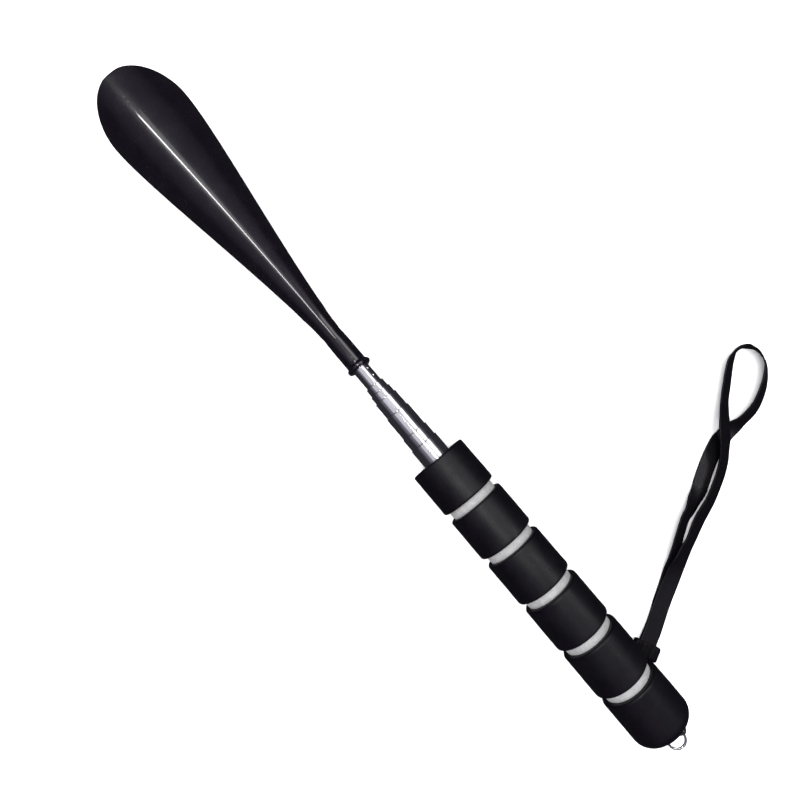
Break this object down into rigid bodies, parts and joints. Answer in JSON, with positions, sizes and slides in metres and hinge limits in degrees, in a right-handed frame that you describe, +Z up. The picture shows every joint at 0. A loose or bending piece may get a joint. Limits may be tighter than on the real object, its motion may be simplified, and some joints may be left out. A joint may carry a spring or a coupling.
{
  "type": "telescopic shoehorn",
  "caption": "Telescopic shoehorn with a curved plastic blade, a nested steel tube shaft, a ringed foam grip and a wrist strap.",
  "frame": {"origin": "on the surface the object lies on, below the middle of its length from the blade's tip to the end of the hanging loop, with the wrist strap left out", "axes": "+X along the shaft from the blade to the butt of the grip, +Y towards the side where the wrist strap lies, +Z up, out of the back of the blade"},
  "size_m": [0.415, 0.1721, 0.028],
  "materials": {
    "blade_plastic": "black moulded plastic, high gloss",
    "pin_steel": "blackened steel pin",
    "polished_steel": "drawn and polished stainless steel tube",
    "sleeve_bronze": "bare spring bronze",
    "plug_plastic": "black moulded plastic, satin",
    "grip_foam": "black closed-cell foam, matt with fine open cells at the skin",
    "ring_foam": "pale grey foam, matt and slightly mottled",
    "loop_wire": "bright steel wire",
    "strap_cord": "thin black braided cord",
    "crimp_plastic": "black moulded plastic",
    "strap_ribbon": "black woven nylon ribbon with a satin sheen"
  },
  "bodies": {
    "grip": {"tube_7": "polished_steel", "stop_plug": "plug_plastic", "foam_segment_1": "grip_foam", "foam_segment_2": "grip_foam", "foam_segment_3": "grip_foam", "foam_segment_4": "grip_foam", "foam_segment_5": "grip_foam", "foam_segment_6": "grip_foam", "spacer_ring_1": "ring_foam", "spacer_ring_2": "ring_foam", "spacer_ring_3": "ring_foam", "spacer_ring_4": "ring_foam", "spacer_ring_5": "ring_foam", "end_plug": "plug_plastic", "hanging_loop": "loop_wire", "lanyard_cord": "strap_cord", "lanyard_crimp": "crimp_plastic", "lanyard_ribbon": "strap_ribbon"},
    "section_6": {"tube_6": "polished_steel", "slide_sleeve_6": "sleeve_bronze"},
    "section_5": {"tube_5": "polished_steel", "slide_sleeve_5": "sleeve_bronze"},
    "section_4": {"tube_4": "polished_steel", "slide_sleeve_4": "sleeve_bronze"},
    "section_3": {"tube_3": "polished_steel", "slide_sleeve_3": "sleeve_bronze"},
    "section_2": {"tube_2": "polished_steel", "slide_sleeve_2": "sleeve_bronze"},
    "section_1": {"slide_sleeve_1": "sleeve_bronze"},
    "blade_arm": {"tube_1": "polished_steel", "blade": "blade_plastic", "blade_pin": "pin_steel"}
  },
  "joints": [
    {"name": "section_6_slide", "type": "slide", "parent": "grip", "child": "section_6", "axis": [-1, 0, 0], "range_m": [-0.0024, 0.0541]},
    {"name": "section_5_slide", "type": "slide", "parent": "section_6", "child": "section_5", "axis": [-1, 0, 0], "range_m": [-0.008, 0.0525]},
    {"name": "section_4_slide", "type": "slide", "parent": "section_5", "child": "section_4", "axis": [-1, 0, 0], "range_m": [-0.0044, 0.0601]},
    {"name": "section_3_slide", "type": "slide", "parent": "section_4", "child": "section_3", "axis": [-1, 0, 0], "range_m": [0, 0.0685]},
    {"name": "section_2_slide", "type": "slide", "parent": "section_3", "child": "section_2", "axis": [-1, 0, 0], "range_m": [0, 0.0725]},
    {"name": "section_1_slide", "type": "slide", "parent": "section_2", "child": "section_1", "axis": [-1, 0, 0], "range_m": [0, 0.0765]},
    {"name": "blade_swivel", "type": "hinge", "parent": "section_1", "child": "blade_arm", "pos_m": [0.0876, 0, 0.014], "axis": [1, 0, 0], "continuous": true}
  ]
}
